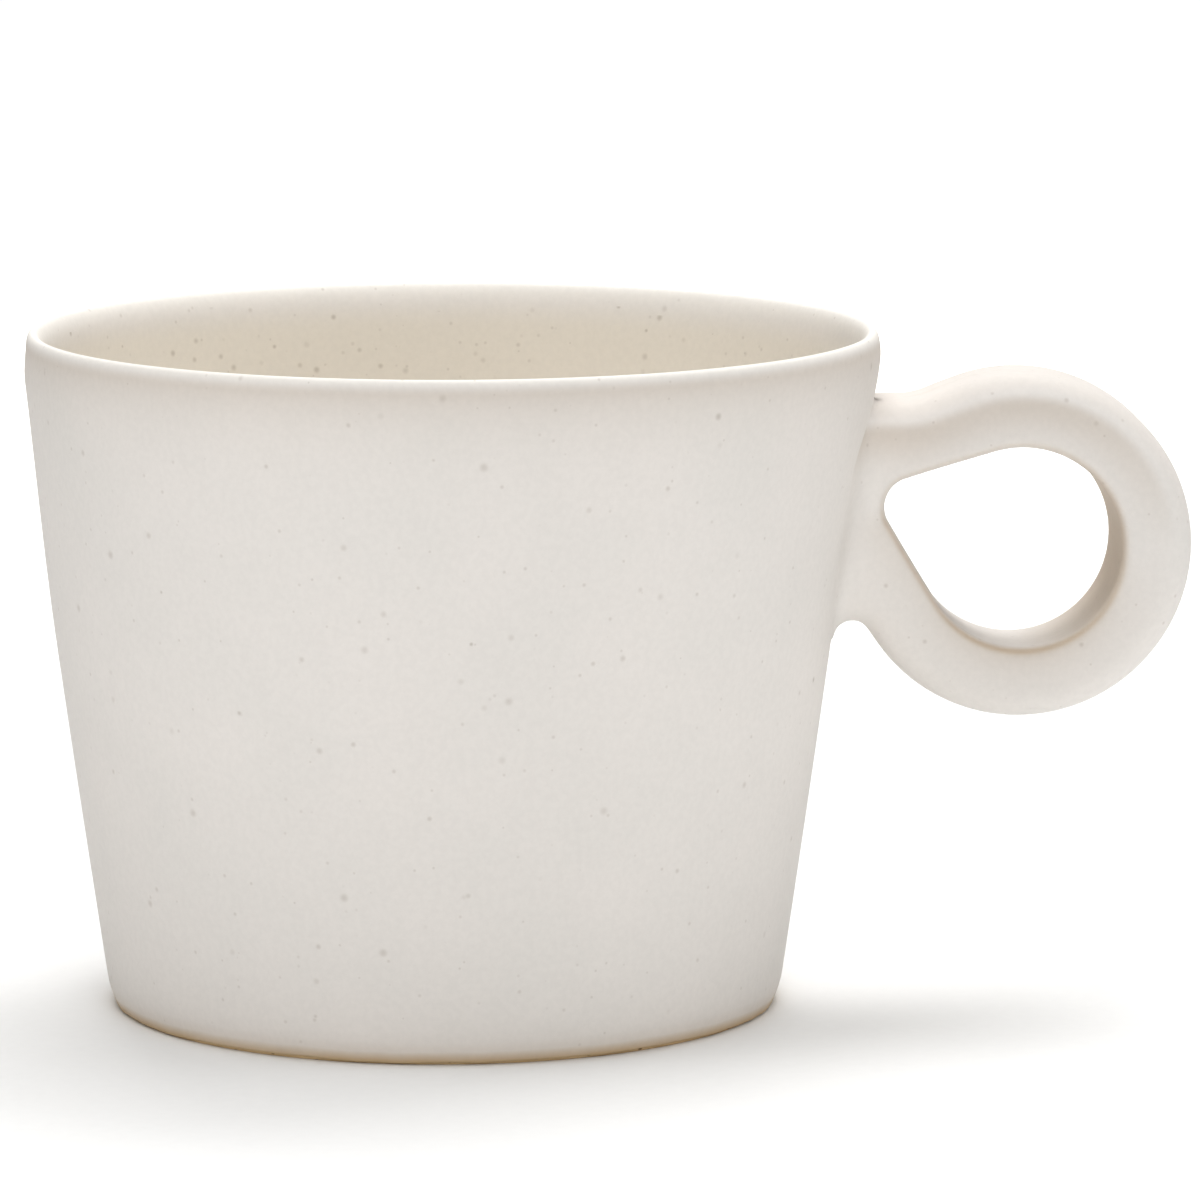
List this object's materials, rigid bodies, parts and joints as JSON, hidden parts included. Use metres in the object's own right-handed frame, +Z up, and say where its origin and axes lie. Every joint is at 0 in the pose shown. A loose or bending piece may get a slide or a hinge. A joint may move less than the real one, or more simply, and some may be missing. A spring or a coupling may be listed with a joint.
{
  "type": "cappuccino cup",
  "caption": "Tapered stoneware cappuccino cup with a rounded lip, a luted ring handle, a speckled satin glaze and a bare foot ring.",
  "frame": {"origin": "middle of the foot ring, at the height of the surface the cup stands on", "axes": "+Z up along the cup's axis, +X towards the handle, +Y to the side; the cup is alike on both sides of the XZ plane"},
  "size_m": [0.1238, 0.09, 0.0715],
  "materials": {
    "stoneware": "bare fired stoneware, toasted at the glaze line",
    "slip": "fired slip, hidden in the joint",
    "glaze": "satin off-white glaze with fine brown specks"
  },
  "bodies": {
    "root": {"cup_body": "stoneware", "handle": "stoneware", "luting_slip": "slip", "cup_glaze": "glaze", "handle_glaze": "glaze"}
  },
  "joints": []
}
